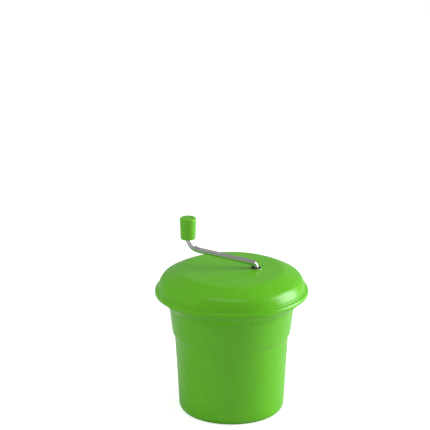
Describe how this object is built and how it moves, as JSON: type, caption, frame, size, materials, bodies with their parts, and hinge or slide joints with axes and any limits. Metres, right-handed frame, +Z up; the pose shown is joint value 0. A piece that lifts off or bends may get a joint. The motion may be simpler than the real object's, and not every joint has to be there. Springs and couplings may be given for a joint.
{
  "type": "salad spinner",
  "caption": "Hand-cranked salad spinner: a bucket holds a slotted basket that turns on a centre pivot, driven through gears in the lid by a crank with a knob.",
  "frame": {"origin": "centre of the bucket's foot, at the height of the surface that it stands on", "axes": "+Z up along the bucket's and the basket's axis, +X from that axis to the crank's axis in the lid, so the knob at rest is on the -X side"},
  "size_m": [0.33, 0.33, 0.4332],
  "materials": {
    "green_plastic": "satin moulded polypropylene, bright green",
    "natural_plastic": "natural milky white polyethylene",
    "pale_plastic": "satin moulded, pale natural nylon",
    "gear_plastic": "moulded acetal, natural white",
    "bearing_plastic": "turned acetal, natural white",
    "polished_steel": "polished stainless rod",
    "stainless_steel": "plain stainless steel",
    "seal_rubber": "moulded black rubber"
  },
  "bodies": {
    "bucket": {"bucket": "green_plastic", "pivot_pin": "stainless_steel"},
    "basket_carrier": {"pivot_bush": "bearing_plastic", "thrust_washer": "stainless_steel"},
    "basket": {"basket": "natural_plastic", "centre_column": "natural_plastic", "drive_socket": "bearing_plastic", "column_screws": "stainless_steel"},
    "lid": {"lid_shell": "green_plastic", "gearbox_plate": "pale_plastic", "gear_housing": "green_plastic", "housing_cover": "pale_plastic", "crank_bush_upper": "bearing_plastic", "crank_bush_lower": "bearing_plastic", "pinion_bush": "bearing_plastic", "plate_screws": "stainless_steel", "housing_screws": "stainless_steel", "cover_screws": "stainless_steel"},
    "crank": {"crank_arm": "polished_steel", "drive_gear": "gear_plastic", "gear_pin": "stainless_steel", "gear_washer": "stainless_steel", "gear_screw": "stainless_steel", "crank_seal": "seal_rubber", "knob_collar": "bearing_plastic", "knob_washer": "stainless_steel", "knob_screw": "stainless_steel"},
    "knob": {"knob": "green_plastic", "knob_cap": "green_plastic"},
    "pinion": {"pinion_shaft": "stainless_steel", "pinion_washer": "stainless_steel", "pinion_circlip": "stainless_steel"}
  },
  "joints": [
    {"name": "basket_lift", "type": "slide", "parent": "bucket", "child": "basket_carrier", "axis": [0, 0, 1], "range_m": [0, 0.298]},
    {"name": "basket_spin", "type": "hinge", "parent": "basket_carrier", "child": "basket", "pos_m": [0, 0, 0.05], "axis": [0, 0, 1], "continuous": true},
    {"name": "lid_lift", "type": "slide", "parent": "basket_carrier", "child": "lid", "axis": [0, 0, 1], "range_m": [0, 0.171]},
    {"name": "crank_spin", "type": "hinge", "parent": "lid", "child": "crank", "pos_m": [0.05175, 0, 0.3], "axis": [0, 0, 1], "continuous": true},
    {"name": "pinion_spin", "type": "hinge", "parent": "lid", "child": "pinion", "pos_m": [0, 0, 0.28], "axis": [0, 0, 1], "continuous": true},
    {"name": "knob_spin", "type": "hinge", "parent": "crank", "child": "knob", "pos_m": [-0.0933, 0, 0.4], "axis": [0, 0, 1], "continuous": true}
  ],
  "couplings": [
    {"joint": "pinion_spin", "follows": "crank_spin", "ratio": -6.6667},
    {"joint": "basket_spin", "follows": "crank_spin", "ratio": -6.6667}
  ]
}
